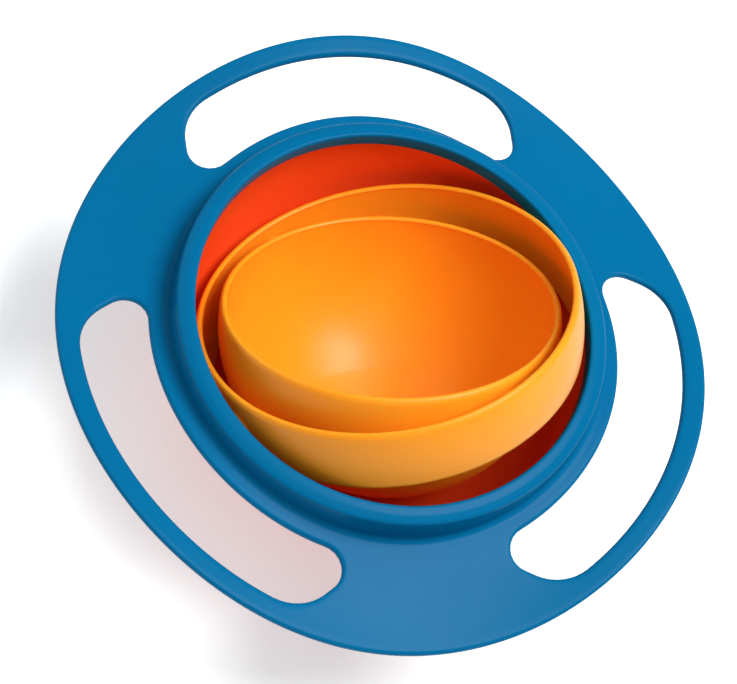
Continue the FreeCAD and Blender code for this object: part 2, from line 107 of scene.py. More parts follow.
PIN_RADIUS = 2.0
BEARING_RADIUS = 2.05        # bores in which the pins turn
BOSS_RADIUS = 4.8
BLIND_WALL = 1.3             # plastic left behind a blind bore
RING_BOSS_PROUD = 1.0
RING_INNER_BOSS_PROUD = 2.2
BOWL_BOSS_PROUD = 2.0
PIN_COLLAR_RADIUS = 3.2
PIN_COLLAR_THICKNESS = 0.9

SCREW_CIRCLE_RADIUS = 80.0
POST_BOTTOM = LIP_Z - 23.0
POST_RADIUS = 4.0
PILOT_RADIUS = 1.6
EAR_THICKNESS = 2.6
EAR_BOTTOM = POST_BOTTOM - EAR_THICKNESS
SCREW_HEAD_RADIUS = 2.8
SCREW_HEAD_HEIGHT = 1.8
SCREW_CORE = 1.25
THREAD_PITCH = 1.1
THREAD_TURNS = 4.5

CUP_RADIUS = 42.0            # the soft foot's edge
CUP_LAND_WIDTH = 2.0         # ring that seals on the table
CUP_EDGE_HEIGHT = 0.9
CUP_LEDGE = 0.8              # reach of the soft edge outside the dome's foot wall
CUP_HOLLOW = 2.4             # height of the hollow at its middle
CUP_SHOULDER = (34.8, 1.8)   # radius and height where the hollow starts to fall to the sealing ring
CUP_UPSTAND_TOP = 9.0        # ring that grips inside the dome's foot wall
CUP_UPSTAND_WALL = 2.4
CUP_TOP = 4.6
TAB_HALF_WIDTH = 6.0
TAB_THICKNESS = 1.8


# ---- mesh helpers -----------------------------------------------------------------------------------
SHARP_ANGLE = math.radians(38)   # edges sharper than this stay crisp
WELD = 0.002 * MM                # points closer than this become one
CUT_WELD = 0.003 * MM            # and after a boolean
SLIVER = 0.0005 * MM             # edges shorter than this are dissolved


def make_piece(name, vertices, faces):
    """A smooth-shaded mesh object from millimetre points."""
    mesh = bpy.data.meshes.new(name)
    mesh.from_pydata([tuple(MM * value for value in point) for point in vertices], [], faces)
    shape = bmesh.new()
    shape.from_mesh(mesh)
    bmesh.ops.remove_doubles(shape, verts=shape.verts, dist=WELD)
    bmesh.ops.recalc_face_normals(shape, faces=shape.faces)
    shape.to_mesh(mesh)
    shape.free()
    mesh.shade_smooth()
    mesh.set_sharp_from_angle(angle=SHARP_ANGLE)
    piece = bpy.data.objects.new(name, mesh)
    bpy.context.scene.collection.objects.link(piece)
    return piece


def arc(centre, radius, start, end, steps):
    """Points of an arc in the outline's plane; angles in degrees, 0 outward and 90 up."""
    angles = np.radians(np.linspace(start, end, steps + 1))
    return [(centre[0] + radius * math.cos(a), centre[1] + radius * math.sin(a)) for a in angles]


def meridian(radius, low, high, steps):
    """Points along a sphere's meridian between two heights over its centre."""
    start = math.degrees(math.asin(low / radius))
    end = math.degrees(math.asin(high / radius))
    return arc((0, 0), radius, start, end, steps)


def on_sphere(radius, offset):
    """A sphere's distance from its axis at this height, or its height at this distance from the axis."""
    return math.sqrt(radius ** 2 - offset ** 2)


def soften(corners, steps):
    """Rounds an outline: each corner is (radius, height, rounding), rounding 0 stays as it is."""
    points = []
    count = len(corners)
    for index, (x, z, rounding) in enumerate(corners):
        here = Vector((x, z))
        if rounding == 0:
            points.append((x, z))
            continue
        before = (Vector(corners[index - 1][:2]) - here).normalized()
        after = (Vector(corners[(index + 1) % count][:2]) - here).normalized()
        half = before.angle(after) / 2
        centre = here + (before + after).normalized() * (rounding / math.sin(half))
        reach = rounding / math.tan(half)
        first, last = here + before * reach - centre, here + after * reach - centre
        for step in range(steps + 1):
            direction = first.lerp(last, step / steps).normalized()
            points.append(tuple(centre + direction * rounding))
    return points


def turned(name, outline, steps=ROUND_STEPS):
    """A solid turned about Z from a closed outline; a stretch that lies on the axis makes no face."""
    vertices, rings, faces = [], [], []
    for radius, z in outline:
        start = len(vertices)
        if radius < 1e-6:
            vertices.append((0, 0, z))
            rings.append([start] * steps)
            continue
        for step in range(steps):
            angle = 2 * math.pi * step / steps
            vertices.append((radius * math.cos(angle), radius * math.sin(angle), z))
        rings.append(list(range(start, start + steps)))
    for ring, following in zip(rings, rings[1:] + rings[:1]):
        for step in range(steps):
            after = (step + 1) % steps
            corners = [ring[step], ring[after], following[after], following[step]]
            corners = list(dict.fromkeys(corners))
            if len(corners) > 2:
                faces.append(corners)
    return make_piece(name, vertices, faces)


def place(piece, matrix):
    """Moves a piece's mesh, so that its origin stays at the frame's."""
    piece.data.transform(matrix)
    return piece


def combine(piece, tool, operation="UNION"):
    """Joins a tool to the piece, or cuts it away, and removes the tool."""
    modifier = piece.modifiers.new("combine", "BOOLEAN")
    modifier.object = tool
    modifier.operation = operation
    modifier.solver = "EXACT"
    evaluated = piece.evaluated_get(bpy.context.evaluated_depsgraph_get())
    mesh = bpy.data.meshes.new_from_object(evaluated)
    shape = bmesh.new()
    shape.from_mesh(mesh)
    bmesh.ops.remove_doubles(shape, verts=shape.verts, dist=CUT_WELD)
    bmesh.ops.dissolve_degenerate(shape, edges=shape.edges, dist=SLIVER)
    shape.to_mesh(mesh)
    shape.free()
    piece.modifiers.clear()
    piece.data = mesh
    bpy.data.objects.remove(tool)
    return piece


def finish_piece(piece, body, slot, material, *nodes):
    """The piece stands for its CAD nodes, rides on their body and gets its material."""
    piece.data.materials.clear()
    piece.data.materials.append(material)
    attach(piece, body)
    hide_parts(*nodes)
    return piece


# ---- saucer -----------------------------------------------------------------------------------------
BAR_COLUMNS = 56             # mesh squares along the grip bar
BAND_COLUMNS = 52            # along the band between a slot and the collar
LAND_COLUMNS = 44            # across the land between two slots
SIDE_ROWS = 12               # along a slot's end
BAR_ROWS = 4
BAND_ROWS = 2
LONG_ARC_STEPS = 400         # fine steps, resampled by evenly()
CORNER_STEPS = 200
RIM_CORNER = 36.0            # azimuths where a slot's corners are joined to rim and root
ROOT_CORNER = 40.0
THIRD = 360.0 / GRIP_COUNT


def flange_top(radius, azimuth):
    """Height of the flange: straight from collar to edge, with a wave of three lands and three grips."""
    share = (radius - FLANGE_ROOT[0]) / (SAUCER_RADIUS - FLANGE_ROOT[0])
    drop = FLANGE_ROOT[1] + share * (FLANGE_EDGE[0] - FLANGE_ROOT[1])
    wave = FLANGE_ROOT[2] + share * (FLANGE_EDGE[1] - FLANGE_ROOT[2])
    drop += 4 * FLANGE_SAG * share * (1 - share)
    return LIP_Z - drop - wave * math.cos(math.radians(GRIP_COUNT * (azimuth - LAND_AZIMUTH)))


def slot_corners():
    """Centres of a slot's two corner roundings, for a slot that lies round azimuth 0."""
    def corner(radius, azimuth):
        return Vector((radius * math.cos(math.radians(azimuth)), radius * math.sin(math.radians(azimuth))))

    inner_end, outer_end = corner(*SLOT_INNER[:2]), corner(*SLOT_OUTER[:2])
    along = (outer_end - inner_end).normalized()
    inward = Vector((along.y, -along.x))

    def centre(distance, rounding):
        foot = inner_end + inward * rounding
        beside = foot.dot(along)
        return foot + along * (math.sqrt(beside ** 2 - foot.length_squared + distance ** 2) - beside)

    inner = centre(SLOT_INNER[0] + SLOT_INNER[2], SLOT_INNER[2])
    outer = centre(SLOT_OUTER[0] - SLOT_OUTER[2], SLOT_OUTER[2])
    return inner, outer, math.degrees(math.atan2(-inward.y, -inward.x))


def slot_sides(inset):
    """Outer, inner and right side of a slot, each moved out into the plastic by inset.

    The left side mirrors the right one.  Each side is a list of even (radius, azimuth) points, and the sides
    meet in the middle of the corners."""
    inner, outer, square = slot_corners()
    inner_turn = math.degrees(math.atan2(inner.y, inner.x))
    outer_turn = math.degrees(math.atan2(outer.y, outer.x))
    inner_middle = (square + inner_turn + 180) / 2
    outer_middle = (square + outer_turn) / 2
    outer_corner = SLOT_OUTER[2] + inset
    inner_corner = SLOT_INNER[2] + inset
    half_outer = arc((0, 0), SLOT_OUTER[0] + inset, 0, outer_turn, LONG_ARC_STEPS)
    half_outer += arc(outer, outer_corner, outer_turn, outer_middle, CORNER_STEPS)[1:]
    half_inner = arc((0, 0), SLOT_INNER[0] - inset, 0, inner_turn, LONG_ARC_STEPS)
    half_inner += arc(inner, inner_corner, inner_turn + 180, inner_middle, CORNER_STEPS)[1:]
    right = arc(inner, inner_corner, inner_middle, square, CORNER_STEPS)
    right += arc(outer, outer_corner, square, outer_middle, CORNER_STEPS)
    return (
        evenly([(x, -y) for x, y in half_outer[::-1]] + half_outer[1:], BAR_COLUMNS),
        evenly([(x, -y) for x, y in half_inner[::-1]] + half_inner[1:], BAND_COLUMNS),
        evenly(right, SIDE_ROWS),
    )


def evenly(points, count):
    """Resamples a fine (x, y) curve into evenly spaced (radius, azimuth) points."""
    xs, ys = np.array(points).T
    travelled = np.concatenate([[0], np.cumsum(np.hypot(np.diff(xs), np.diff(ys)))])
    wanted = np.linspace(0, travelled[-1], count + 1)
    return [(math.hypot(x, y), math.degrees(math.atan2(y, x)))
            for x, y in zip(np.interp(wanted, travelled, xs), np.interp(wanted, travelled, ys))]


def between(first, last, rows):
    """Rows of (radius, azimuth) points from one curve to another, both included."""
    shares = np.linspace(0, 1, rows + 1)
    return [
        [tuple(a + (b - a) * share for a, b in zip(p, q)) for p, q in zip(first, last)]
        for share in shares
    ]


def spread(low, high, count):
    """Evenly spaced values from low to high, both included."""
    return [float(value) for value in np.linspace(low, high, count + 1)]


def plan_of_a_third():
    """The flange's plan round one slot: grip bar, inner band and the land after it, as point grids."""
    rim = SAUCER_RADIUS - EDGE_ROUNDING
    outer, inner, right = slot_sides(EDGE_ROUNDING)
    rim_line = [(rim, azimuth) for azimuth in spread(-RIM_CORNER, RIM_CORNER, BAR_COLUMNS)]
    root_line = [(ROOT_RADIUS, azimuth) for azimuth in spread(-ROOT_CORNER, ROOT_CORNER, BAND_COLUMNS)]
    bar = between(outer, rim_line, BAR_ROWS)
    band = between(root_line, inner, BAND_ROWS)
    near = [row[-1] for row in band] + right[1:-1] + [row[-1] for row in bar]
    far = [(radius, THIRD - azimuth) for radius, azimuth in near]
    land = between(near, far, LAND_COLUMNS)
    return [bar, band, land]


def edge_profile():
    """Rounded edge of the plate as (inset, drop) pairs, from its top face to its bottom face."""
    steps = 4
    angles = [math.radians(90 * step / steps) for step in range(steps + 1)]
    top = [(EDGE_ROUNDING * (1 - math.sin(a)), EDGE_ROUNDING * (1 - math.cos(a))) for a in angles]
    bottom = [(inset, FLANGE_THICKNESS - drop) for inset, drop in reversed(top)]
    return top + bottom


def collar_column(azimuth):
    """The collar's section at one azimuth, from the flange's top root round to its bottom root."""
    top = flange_top(ROOT_RADIUS, azimuth)
    bottom = top - FLANGE_THICKNESS
    foot = arc((78.5, top + COLLAR_FOOT_ROUNDING), COLLAR_FOOT_ROUNDING, 270, 184, 6)
    foot_end = Vector(foot[-1])
    wall_end = Vector((CROWN_RADIUS, LIP_Z - CROWN_DROP))
    wall = [tuple(foot_end.lerp(wall_end, share)) for share in (0.25, 0.5, 0.75)]
    inner_wall = LIP_RADIUS + WALL
    crown = soften([
        (CROWN_RADIUS, LIP_Z - CROWN_DROP, 0),
        (CROWN_RADIUS - 0.15, LIP_Z - 1.7, 1.5),
        (72.4, LIP_Z - 0.55, 4.0),
        (LIP_RADIUS, LIP_Z, 1.0),
        (LIP_RADIUS, LIP_Z - LIP_DEPTH, 0.35),
        (inner_wall, LIP_Z - LIP_DEPTH, 0.35),
        (inner_wall, LIP_Z - 2.7, 0.5),
        (CROWN_RADIUS - 2.25, LIP_Z - CROWN_DROP, 0.8),
        (SKIRT_FOOT_RADIUS - 2.15, LIP_Z - SKIRT_DROP, 0.35),
        (SKIRT_FOOT_RADIUS + 0.05, LIP_Z - SKIRT_DROP, 0.35),
        (SKIRT_FOOT_RADIUS, LIP_Z - SKIRT_DROP + 0.9, 0),
    ], 4)
    skirt = [(SKIRT_FOOT_RADIUS, bottom), (ROOT_RADIUS, bottom)]
    return [(ROOT_RADIUS, top)] + foot + wall + crown + skirt


def build_saucer():
    """One closed shell: plate with three slots, rounded edges, hollow collar and its skirt."""
    vertices, faces = [], []

    def add_grid(rows):
        start, width = len(vertices), len(rows[0])
        for row in rows:
            vertices.extend(row)
        for i in range(len(rows) - 1):
            for j in range(width - 1):
                corner = start + i * width + j
                faces.append((corner, corner + 1, corner + 1 + width, corner + width))

    def point(radius, azimuth, turn, drop):
        angle = math.radians(azimuth + turn)
        z = flange_top(radius, azimuth + turn) - drop
        return (radius * math.cos(angle), radius * math.sin(angle), z)

    profile = edge_profile()
    rim_azimuths = spread(-RIM_CORNER, RIM_CORNER, BAR_COLUMNS)
    rim_azimuths += spread(RIM_CORNER, THIRD - RIM_CORNER, LAND_COLUMNS)[1:]
    root_azimuths = spread(-ROOT_CORNER, ROOT_CORNER, BAND_COLUMNS)
    root_azimuths += spread(ROOT_CORNER, THIRD - ROOT_CORNER, LAND_COLUMNS)[1:]
    for grip in range(GRIP_COUNT):
        turn = GRIP_AZIMUTH + THIRD * grip
        for grid in plan_of_a_third():
            for drop in (0, FLANGE_THICKNESS):
                add_grid([[point(radius, azimuth, turn, drop) for radius, azimuth in row] for row in grid])
        add_grid([
            [point(SAUCER_RADIUS - inset, azimuth, turn, drop) for azimuth in rim_azimuths]
            for inset, drop in profile
        ])
        edges = [(slot_sides(inset), drop) for inset, drop in profile]
        for side, mirror in ((0, 1), (1, 1), (2, 1), (2, -1)):
            add_grid([
                [point(radius, mirror * azimuth, turn, drop) for radius, azimuth in sides[side]]
                for sides, drop in edges
            ])
        columns = []
        for azimuth in root_azimuths:
            angle = math.radians(azimuth + turn)
            columns.append([(r * math.cos(angle), r * math.sin(angle), z)
                            for r, z in collar_column(azimuth + turn)])
        add_grid(columns)
    return make_piece("saucer_moulding", vertices, faces)


def land_azimuths():
    """Directions of the three lands, each with a screw under it."""
    return [LAND_AZIMUTH + THIRD * land for land in range(GRIP_COUNT)]


def at_azimuth(piece, radius, azimuth, z):
    """Stands a piece made round the origin at a place on the saucer."""
    angle = math.radians(azimuth)
    spot = Vector((radius * math.cos(angle), radius * math.sin(angle), z)) * MM
    return place(piece, Matrix.Translation(spot) @ Matrix.Rotation(angle, 4, "Z"))


def stub(name, radius, low, high, flare):
    """A round boss along Z whose foot, at low, flares out into the wall it stands on."""
    foot = arc((radius + flare, low + flare), flare, 270, 180, 6)
    outline = [(0, low - 1.0), (radius + flare, low - 1.0)] + foot
    outline += soften([(radius, high - 1, 0), (radius, high, 0.5), (0, high, 0)], 3)
    return turned(name, outline, SMALL_STEPS)


def drill(name, radius, low, high, steps=SMALL_STEPS):
    """A plain rod along Z to cut a bore with."""
    return turned(name, [(0, low), (radius, low), (radius, high), (0, high)], steps)


def add_posts(saucer):
    """Screw posts under the three lands, each flared where it meets the plate."""
    for azimuth in land_azimuths():
        post_top = flange_top(SCREW_CIRCLE_RADIUS, azimuth) - FLANGE_THICKNESS
        flare = 1.6
        outline = [(0, post_top + 1.2), (POST_RADIUS + flare, post_top + 1.2)]
        outline += arc((POST_RADIUS + flare, post_top - flare), flare, 90, 180, 5)
        outline += soften([
            (POST_RADIUS, POST_BOTTOM + 1, 0),
            (POST_RADIUS, POST_BOTTOM, 0.4),
            (PILOT_RADIUS, POST_BOTTOM, 0.3),
            (PILOT_RADIUS, POST_BOTTOM + 4, 0),
            (0, POST_BOTTOM + 4, 0),
        ], 3)
        post = turned("post", outline, SMALL_STEPS)
        combine(saucer, at_azimuth(post, SCREW_CIRCLE_RADIUS, azimuth, 0))
    return saucer


# ---- dome -------------------------------------------------------------------------------------------
def dome_outline():
    """The dome's section, from the middle of its inside up to the rim and down outside to the foot wall."""
    foot_bottom = FOOT_WALL_BOTTOM - CENTRE_Z
    foot_inner = FOOT_WALL_RADIUS - WALL
    outer_floor = DOME_FLOOR - (DOME_OUTER - DOME_INNER)
    blend_radius = FOOT_WALL_RADIUS + FOOT_BLEND
    blend_z = -on_sphere(DOME_OUTER + FOOT_BLEND, blend_radius)
    touch = math.degrees(math.atan2(blend_z, blend_radius))
    outline = soften([
        (0, DOME_FLOOR, 0),
        (on_sphere(DOME_INNER, DOME_FLOOR), DOME_FLOOR, 2.5),
        (on_sphere(DOME_INNER, DOME_FLOOR + 2), DOME_FLOOR + 2, 0),
    ], 5)
    outline += meridian(DOME_INNER, DOME_FLOOR + 3, 0, 44)
    outline += soften([
        (DOME_INNER, DOME_TOP - 2, 0),
        (DOME_INNER, DOME_TOP, 0.4),
        (DOME_INNER + TONGUE_WALL, DOME_TOP, 0.4),
        (DOME_INNER + TONGUE_WALL, DOME_SHOULDER, 0.1),
        (DOME_OUTER, DOME_SHOULDER, 0.3),
        (DOME_OUTER, 0.5, 0),
    ], 3)
    outline += meridian(DOME_OUTER, DOME_OUTER * math.sin(math.radians(touch)), 0, 26)[::-1]
    outline += arc((blend_radius, blend_z), FOOT_BLEND, touch + 180, 180, 5)[1:]
    outline += soften([
        (FOOT_WALL_RADIUS, foot_bottom + 3, 0),
        (FOOT_WALL_RADIUS, foot_bottom, 0.4),
        (foot_inner, foot_bottom, 0.4),
        (foot_inner, foot_bottom + 3, 0),
    ], 3)
    outline += meridian(DOME_OUTER, outer_floor + 0.2, -on_sphere(DOME_OUTER, foot_inner), 8)[::-1]
    return outline + [(on_sphere(DOME_OUTER, outer_floor), outer_floor), (0, outer_floor)]


def build_dome():
    """Fixed outer shell: bowl with a tongue on its rim, foot wall, three screw ears and two pin bosses."""
    dome = place(turned("dome_shell", dome_outline()), Matrix.Translation(CENTRE))
    for azimuth in land_azimuths():
        combine(dome, at_azimuth(build_ear(), 0, azimuth, 0))
    for side in (-1, 1):
        outward = Matrix.Translation(CENTRE) @ sideways(side, "Y")
        boss = stub("boss", DOME_BOSS_RADIUS, -DOME_INNER + 0.25, -DOME_BOSS_END, 0.6)
        combine(dome, place(boss, outward))
        bore = drill("bore", PIN_RADIUS, 60, 80, PIN_STEPS)
        combine(dome, place(bore, outward), "DIFFERENCE")
    return dome


def build_ear():
    """A flat ear with a round end, two ribs under it and the screw's clearance hole."""
    half_width = 5.0
    root = 71.0
    rib_width = 1.6
    rib_depth = 8.0
    rib_inset = 0.45
    rib_top = EAR_BOTTOM + 0.6
    round_end = arc((SCREW_CIRCLE_RADIUS, 0), half_width, -90, 90, 20)
    outline = [(root, -half_width)] + round_end + [(root, half_width)]
    ear = prism("ear", outline, EAR_BOTTOM, POST_BOTTOM - 0.05, 0.35)
    rib_outline = [
        (root - 0.3, rib_top),
        (SCREW_CIRCLE_RADIUS - 1.2, rib_top),
        (root - 2.1, EAR_BOTTOM - rib_depth),
    ]
    for side in (-1, 1):
        y = side * (half_width - rib_inset - rib_width / 2)
        rib_wall = prism("rib", rib_outline, -rib_width / 2, rib_width / 2, 0.2)
        place(rib_wall, Matrix.Translation((0, y * MM, 0)) @ Matrix.Rotation(math.pi / 2, 4, "X"))
        combine(ear, rib_wall)
    hole = drill("hole", 1.7, EAR_BOTTOM - 2, POST_BOTTOM + 2, 40)
    place(hole, Matrix.Translation((SCREW_CIRCLE_RADIUS * MM, 0, 0)))
    return combine(ear, hole, "DIFFERENCE")


def prism(name, outline, low, high, rounding):
    """An upright prism over an outline in the XY plane, with its long edges rounded."""
    mesh = bpy.data.meshes.new(name)
    shape = bmesh.new()
    base = [shape.verts.new((x * MM, y * MM, low * MM)) for x, y in outline]
    bottom = shape.faces.new(base)
    lifted = bmesh.ops.extrude_face_region(shape, geom=[bottom])["geom"]
    tops = [item for item in lifted if isinstance(item, bmesh.types.BMVert)]
    bmesh.ops.translate(shape, verts=tops, vec=(0, 0, (high - low) * MM))
    bmesh.ops.recalc_face_normals(shape, faces=shape.faces)
    sharp = [edge for edge in shape.edges if edge.calc_face_angle(0) > math.radians(35)]
    bmesh.ops.bevel(shape, geom=sharp, offset=rounding * MM, segments=3, profile=0.5, affect="EDGES")
    shape.to_mesh(mesh)
    shape.free()
    mesh.shade_smooth()
    piece = bpy.data.objects.new(name, mesh)
    bpy.context.scene.collection.objects.link(piece)
    return piece


# ---- gimbal ring and bowl ---------------------------------------------------------------------------
def sideways(side, axis):
    """Turns a boss made along Z to point along +X, -X, +Y or -Y."""
    if axis == "X":
        return Matrix.Rotation(side * math.pi / 2, 4, "Y")
    return Matrix.Rotation(-side * math.pi / 2, 4, "X")


def build_ring():
    """A band of a sphere with rounded rims; small bosses outside on Y and inside on X."""
    inner = RING_RADIUS - WALL
    rounding = 1.0
    outline = meridian(inner, RING_BOTTOM + rounding, RING_TOP - rounding, 20)[::-1]
    outline += rim(on_sphere(inner, RING_BOTTOM), on_sphere(RING_RADIUS, RING_BOTTOM), RING_BOTTOM, -1)
    outline += meridian(RING_RADIUS, RING_BOTTOM + rounding, RING_TOP - rounding, 20)
    outline += rim(on_sphere(RING_RADIUS, RING_TOP), on_sphere(inner, RING_TOP), RING_TOP, 1)
    ring = turned("gimbal_band", outline)
    for side in (-1, 1):
        outside = stub("boss", BOSS_RADIUS, RING_RADIUS - 0.1, RING_RADIUS + RING_BOSS_PROUD, 0.5)
        combine(ring, place(outside, sideways(side, "Y")))
        bearing = drill("bearing", BEARING_RADIUS, inner + BLIND_WALL, inner + 6)
        combine(ring, place(bearing, sideways(side, "Y")), "DIFFERENCE")
        inside = stub("boss", BOSS_RADIUS, -inner + 0.1, -inner + RING_INNER_BOSS_PROUD, 0.8)
        combine(ring, place(inside, sideways(side, "X")))
        bearing = drill("bearing", BEARING_RADIUS, BLIND_WALL - RING_RADIUS, -inner + 4)
        combine(ring, place(bearing, sideways(side, "X")), "DIFFERENCE")
    return place(ring, RING_POSE)


def rim(first, last, z, up):
    """A rounded rim from one wall to the other, at height z, facing up (1) or down (-1)."""
    radius = abs(last - first) / 2
    middle = (first + last) / 2
    start = 0 if first > last else 180
    turn = 180 if (up > 0) == (first > last) else -180
    return arc((middle, z - up * radius), radius, start, start + turn, 10)[1:-1]


def build_bowl():
    """Deep round bowl with a small flat floor, a rolled rim and a boss outside for each pivot pin."""
    inner = BOWL_RADIUS - WALL
    inner_floor = BOWL_FLOOR + WALL
    lip = 1.1
    outline = soften([
        (0, BOWL_FLOOR, 0),
        (on_sphere(BOWL_RADIUS, BOWL_FLOOR), BOWL_FLOOR, BOWL_FLOOR_ROUNDING),
        (on_sphere(BOWL_RADIUS, BOWL_FLOOR + 9), BOWL_FLOOR + 9, 0),
    ], 10)
    outline += meridian(BOWL_RADIUS, BOWL_FLOOR + 10, BOWL_TOP - lip, 44)
    outline += rim(on_sphere(BOWL_RADIUS, BOWL_TOP), on_sphere(inner, BOWL_TOP), BOWL_TOP, 1)
    outline += meridian(inner, inner_floor + 10, BOWL_TOP - lip, 44)[::-1]
    outline += soften([
        (on_sphere(inner, inner_floor + 9), inner_floor + 9, 0),
        (on_sphere(inner, inner_floor), inner_floor, BOWL_FLOOR_ROUNDING),
        (0, inner_floor, 0),
    ], 10)
    bowl = turned("bowl_shell", outline)
    for side in (-1, 1):
        boss = stub("boss", BOSS_RADIUS, BOWL_RADIUS - 0.1, BOWL_RADIUS + BOWL_BOSS_PROUD, 0.8)
        combine(bowl, place(boss, sideways(side, "X")))
        bore = drill("bore", PIN_RADIUS, inner + BLIND_WALL, inner + 7, PIN_STEPS)
        combine(bowl, place(bore, sideways(side, "X")), "DIFFERENCE")
    return place(bowl, BOWL_POSE)


# ---- pins, screws and foot --------------------------------------------------------------------------
def build_ring_pin(side):
    """Plain pin in the dome's boss, flush outside: shank with a chamfered tip."""
    tip = RING_RADIUS - WALL + BLIND_WALL + 0.2
    outline = soften([
        (0, tip, 0),
        (PIN_RADIUS, tip, 0.4),
        (PIN_RADIUS, DOME_OUTER, 0.15),
        (0, DOME_OUTER, 0),
    ], 4)
    return place(turned("ring_pin", outline, PIN_STEPS), Matrix.Translation(CENTRE) @ sideways(side, "Y"))


def build_bowl_pin(side):
    """Pin with a collar that keeps the bowl in the middle of the ring."""
    root = BOWL_RADIUS - WALL + BLIND_WALL
    seat = BOWL_RADIUS + BOWL_BOSS_PROUD
    tip = RING_RADIUS - BLIND_WALL - 0.2
    collar_end = seat + PIN_COLLAR_THICKNESS
    outline = soften([
        (0, root, 0),
        (PIN_RADIUS, root, 0.3),
        (PIN_RADIUS, seat, 0.05),
        (PIN_COLLAR_RADIUS, seat, 0.15),
        (PIN_COLLAR_RADIUS, collar_end, 0.2),
        (PIN_RADIUS, collar_end, 0.1),
        (PIN_RADIUS, tip, 0.4),
        (0, tip, 0),
    ], 4)
    return place(turned("bowl_pin", outline, PIN_STEPS), BOWL_POSE @ sideways(side, "X"))


def build_screws():
    """Three pan-head screws with a cross recess and a cut thread, joined as one piece."""
    head_bottom = EAR_BOTTOM - SCREW_HEAD_HEIGHT
    tip = POST_BOTTOM + 5.8
    outline = soften([
        (0, head_bottom, 0),
        (SCREW_HEAD_RADIUS, head_bottom, 1.1),
        (SCREW_HEAD_RADIUS, EAR_BOTTOM, 0.1),
        (SCREW_CORE, EAR_BOTTOM, 0.1),
        (SCREW_CORE, tip - 1.0, 0),
        (0.3, tip, 0),
        (0, tip, 0),
    ], 4)
    reach, half_width = 1.7, 0.4
    recess_outline = [(-reach, -half_width), (reach, -half_width), (reach, half_width), (-reach, half_width)]
    screws = None
    for azimuth in land_azimuths():
        screw = turned("screw", outline, 40)
        for turn in (0, math.pi / 2):
            recess = prism("recess", recess_outline, EAR_BOTTOM - 3, EAR_BOTTOM - 0.8, 0.1)
            combine(screw, place(recess, Matrix.Rotation(turn, 4, "Z")), "DIFFERENCE")
        combine(screw, build_thread())
        at_azimuth(screw, SCREW_CIRCLE_RADIUS, azimuth, 0)
        screws = join(screws, screw) if screws else screw
    return screws


def build_thread():
    """The thread of one screw: a triangular ridge wound round its core."""
    steps = 28
    depth = 0.4
    half_foot = 0.38
    run_out = 6
    low = POST_BOTTOM - 0.2
    vertices, faces = [], []
    count = int(THREAD_TURNS * steps)
    for step in range(count + 1):
        angle = 2 * math.pi * step / steps
        z = low + THREAD_PITCH * step / steps
        height = depth * min(1.0, step / run_out, (count - step) / run_out + 0.02)
        foot_radius = SCREW_CORE - 0.15
        for radius, lift in ((foot_radius, -half_foot), (SCREW_CORE + height, 0), (foot_radius, half_foot)):
            vertices.append((radius * math.cos(angle), radius * math.sin(angle), z + lift))
    for step in range(count):
        a, b = 3 * step, 3 * step + 3
        faces += [(a, a + 1, b + 1, b), (a + 1, a + 2, b + 2, b + 1), (a + 2, a, b, b + 2)]
    faces += [(0, 1, 2), (3 * count + 2, 3 * count + 1, 3 * count)]
    return make_piece("thread", vertices, faces)


def join(first, second):
    """Puts a second mesh into the first piece."""
    shape = bmesh.new()
    shape.from_mesh(first.data)
    shape.from_mesh(second.data)
    shape.to_mesh(first.data)
    shape.free()
    bpy.data.objects.remove(second)
    return first


def build_foot():
    """Soft cup: sealing ring on the table, hollow underside, upstand inside the foot wall, lift tab."""
    grip = FOOT_WALL_RADIUS - WALL
    upstand = grip - 0.05
    upstand_inner = grip - CUP_UPSTAND_WALL
    outline = soften([
        (0, CUP_HOLLOW, 0),
        (*CUP_SHOULDER, 6.0),
        (CUP_RADIUS - CUP_LAND_WIDTH, 0, 0.6),
        (CUP_RADIUS, 0, 0.35),
        (CUP_RADIUS, CUP_EDGE_HEIGHT, 0.35),
        (FOOT_WALL_RADIUS + CUP_LEDGE, FOOT_WALL_BOTTOM, 0.8),
        (upstand, FOOT_WALL_BOTTOM, 0.1),
        (upstand, CUP_UPSTAND_TOP, 0.5),
        (upstand_inner, CUP_UPSTAND_TOP, 0.5),
        (upstand_inner, CUP_TOP, 1.2),
        (0, CUP_TOP, 0),
    ], 5)
    foot = turned("soft_cup", outline)
    tab_root = CUP_RADIUS - 1.6
    tab_end = arc((0, CUP_RADIUS + 0.3), TAB_HALF_WIDTH, 0, 180, 24)
    tab_outline = [(TAB_HALF_WIDTH, tab_root)] + tab_end + [(-TAB_HALF_WIDTH, tab_root)]
    combine(foot, prism("tab", tab_outline, 0, TAB_THICKNESS, 0.5))
    pitch = 1.4
    half = 3.2
    width = 0.6
    for ridge in range(3):
        y = CUP_RADIUS + 1.6 + pitch * ridge
        ridge_outline = [(-half, y), (half, y), (half, y + width), (-half, y + width)]
        combine(foot, prism("ridge", ridge_outline, TAB_THICKNESS - 0.5, TAB_THICKNESS + 0.35, 0.15))
    return foot


# ---- materials --------------------------------------------------------------------------------------
def node_tree(name):
    """A new material with its nodes and links."""
    material = bpy.data.materials.new(name)
    material.use_nodes = True
    return material, material.node_tree.nodes, material.node_tree.links


def noise(nodes, links, coordinates, scale, detail, stretch=None):
    """A noise texture in the piece's own coordinates, stretched along one axis if asked."""
    texture = nodes.new("ShaderNodeTexNoise")
    texture.inputs["Scale"].default_value = scale
    texture.inputs["Detail"].default_value = detail
    source = coordinates
    if stretch:
        mapping = nodes.new("ShaderNodeMapping")
        mapping.inputs["Scale"].default_value = stretch
        links.new(coordinates, mapping.inputs["Vector"])
        source = mapping.outputs["Vector"]
    links.new(source, texture.inputs["Vector"])
    return texture.outputs["Fac"]


